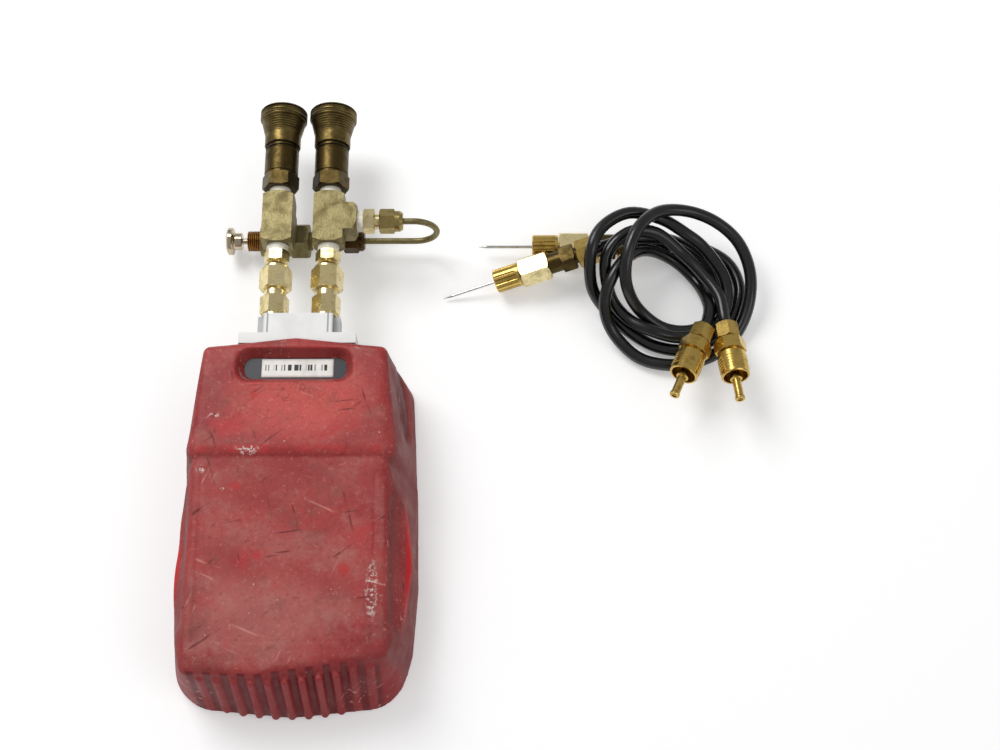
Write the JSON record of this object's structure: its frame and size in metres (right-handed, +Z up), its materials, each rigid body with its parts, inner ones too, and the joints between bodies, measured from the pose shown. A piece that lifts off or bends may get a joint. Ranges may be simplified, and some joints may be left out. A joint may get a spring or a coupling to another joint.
{
  "type": "hydronic differential pressure manometer set",
  "caption": "Handheld pressure meter in a red rubber boot with a brass bypass-valve manifold and quick-connect sockets, and a coiled pair of hoses with plugs and needle probes.",
  "frame": {"origin": "on the rim of the boot's open face, 3 mm in from the middle of its near end, on the surface that the meter lies on", "axes": "+X across the meter, +Y towards its ports, +Z up out of its back"},
  "size_m": [0.2923, 0.3119, 0.05],
  "materials": {
    "boot_rubber": "worn red moulded rubber",
    "case_plastic": "dark blue-black moulded plastic",
    "front_plastic": "dark grey moulded plastic",
    "key_rubber": "grey silicone keys",
    "lens_plastic": "clear display window",
    "display": "grey-green liquid crystal module",
    "board": "green circuit board",
    "cell": "battery cells",
    "sensor": "pressure sensor housing",
    "silicone": "soft silicone tube",
    "port_plastic": "white moulded plastic",
    "brass_bright": "bright turned brass",
    "brass_bar": "dull bar brass",
    "brass_dark": "tarnished brown brass",
    "brass_gold": "new yellow brass",
    "copper_bonnet": "copper coloured bonnet",
    "steel": "bright steel",
    "tape": "white thread tape",
    "hose_vinyl": "glossy black vinyl hose"
  },
  "bodies": {
    "meter": {"rubber_boot": "boot_rubber", "case_back": "case_plastic", "case_front": "front_plastic", "battery_door": "case_plastic", "battery_cells": "cell", "circuit_board": "board", "pressure_sensor": "sensor", "sensor_tubes": "silicone", "display_module": "display", "display_lens": "lens_plastic", "case_screws": "steel", "port_block": "port_plastic", "left_connector": "brass_bright", "left_nut": "brass_bright", "left_adapter": "brass_bright", "left_tee": "brass_bar", "left_socket": "brass_dark", "left_sleeve_spring": "steel", "right_connector": "brass_bright", "right_nut": "brass_bright", "right_adapter": "brass_bright", "right_tee": "brass_bar", "right_socket": "brass_dark", "right_sleeve_spring": "steel", "ferrules": "brass_bright", "thread_tape": "tape", "lock_balls": "steel", "socket_poppets": "brass_bright", "valve_body": "brass_bright", "valve_bonnet": "copper_bonnet", "valve_packing": "tape", "bypass_connectors": "brass_bright", "bypass_nuts": "brass_bright", "bypass_tube": "brass_bright", "hose_a": "hose_vinyl", "hose_b": "hose_vinyl", "probe_gland_a": "brass_bright", "probe_gland_b": "brass_bright", "probe_body_a": "brass_bright", "probe_body_b": "brass_bright", "probe_adapter_a": "brass_bright", "probe_adapter_b": "brass_bright", "plug_body_a": "brass_gold", "plug_body_b": "brass_gold", "probe_needles": "steel", "plug_pins": "brass_gold", "hose_nuts": "brass_bright"},
    "left_sleeve_body": {"left_sleeve": "brass_dark"},
    "right_sleeve_body": {"right_sleeve": "brass_dark"},
    "valve_stem_body": {"valve_stem": "steel", "valve_knob": "steel", "knob_set_screw": "steel"},
    "key_1_body": {"key_1": "key_rubber"},
    "key_2_body": {"key_2": "key_rubber"},
    "key_3_body": {"key_3": "key_rubber"},
    "key_4_body": {"key_4": "key_rubber"},
    "key_5_body": {"key_5": "key_rubber"},
    "key_6_body": {"key_6": "key_rubber"}
  },
  "joints": [
    {"name": "left_sleeve_slide", "type": "slide", "parent": "meter", "child": "left_sleeve_body", "axis": [0, -1, 0], "range_m": [0, 0.0024], "stiffness_N_per_m": 1500, "springref_m": -0.003, "deforming": ["left_sleeve_spring"]},
    {"name": "right_sleeve_slide", "type": "slide", "parent": "meter", "child": "right_sleeve_body", "axis": [0, -1, 0], "range_m": [0, 0.0024], "stiffness_N_per_m": 1500, "springref_m": -0.003, "deforming": ["right_sleeve_spring"]},
    {"name": "valve_turn", "type": "hinge", "parent": "meter", "child": "valve_stem_body", "pos_m": [-0.0428, 0.244, 0.0108], "axis": [-1, 0, 0], "range_deg": [0, 720]},
    {"name": "key_1_press", "type": "slide", "parent": "meter", "child": "key_1_body", "axis": [0, 0, 1], "range_m": [0, 0.0008], "stiffness_N_per_m": 900, "springref_m": -0.0006},
    {"name": "key_2_press", "type": "slide", "parent": "meter", "child": "key_2_body", "axis": [0, 0, 1], "range_m": [0, 0.0008], "stiffness_N_per_m": 900, "springref_m": -0.0006},
    {"name": "key_3_press", "type": "slide", "parent": "meter", "child": "key_3_body", "axis": [0, 0, 1], "range_m": [0, 0.0008], "stiffness_N_per_m": 900, "springref_m": -0.0006},
    {"name": "key_4_press", "type": "slide", "parent": "meter", "child": "key_4_body", "axis": [0, 0, 1], "range_m": [0, 0.0008], "stiffness_N_per_m": 900, "springref_m": -0.0006},
    {"name": "key_5_press", "type": "slide", "parent": "meter", "child": "key_5_body", "axis": [0, 0, 1], "range_m": [0, 0.0008], "stiffness_N_per_m": 900, "springref_m": -0.0006},
    {"name": "key_6_press", "type": "slide", "parent": "meter", "child": "key_6_body", "axis": [0, 0, 1], "range_m": [0, 0.0008], "stiffness_N_per_m": 900, "springref_m": -0.0006}
  ]
}
